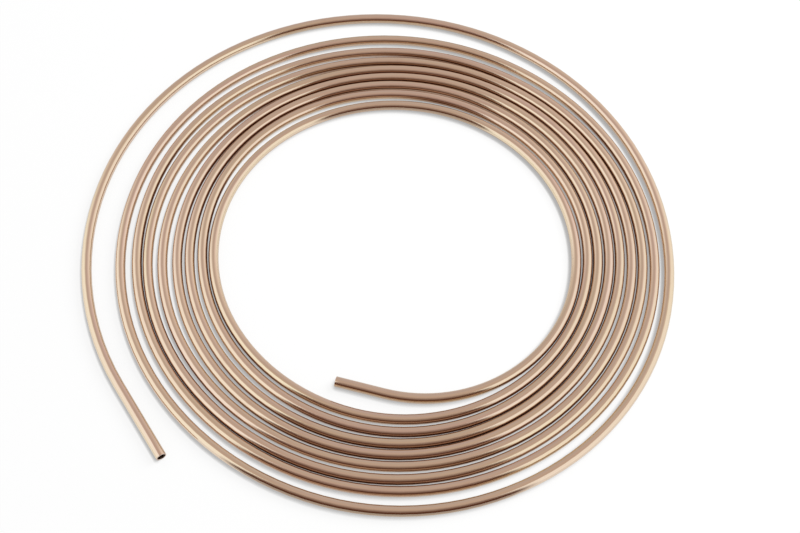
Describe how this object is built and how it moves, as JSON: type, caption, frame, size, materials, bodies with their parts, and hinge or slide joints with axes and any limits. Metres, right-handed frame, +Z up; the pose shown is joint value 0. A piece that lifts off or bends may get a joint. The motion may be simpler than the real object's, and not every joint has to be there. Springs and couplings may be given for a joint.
{
  "type": "copper nickel tube coil",
  "caption": "Seamless thin-walled metal tube wound into a loose flat spiral coil, with a straight, square-cut open tail at each end.",
  "frame": {"origin": "middle of the coil's bounding box, on the level floor that it lies on", "axes": "+Z up, through the eye of the coil as it lies flat; +X along the straight tail at the inner end, from its open end towards the turns"},
  "size_m": [0.3788, 0.3624, 0.0063],
  "materials": {
    "tube": "bright drawn copper-nickel, lightly oxidised"
  },
  "bodies": {
    "root": {"tube": "tube"}
  },
  "joints": []
}
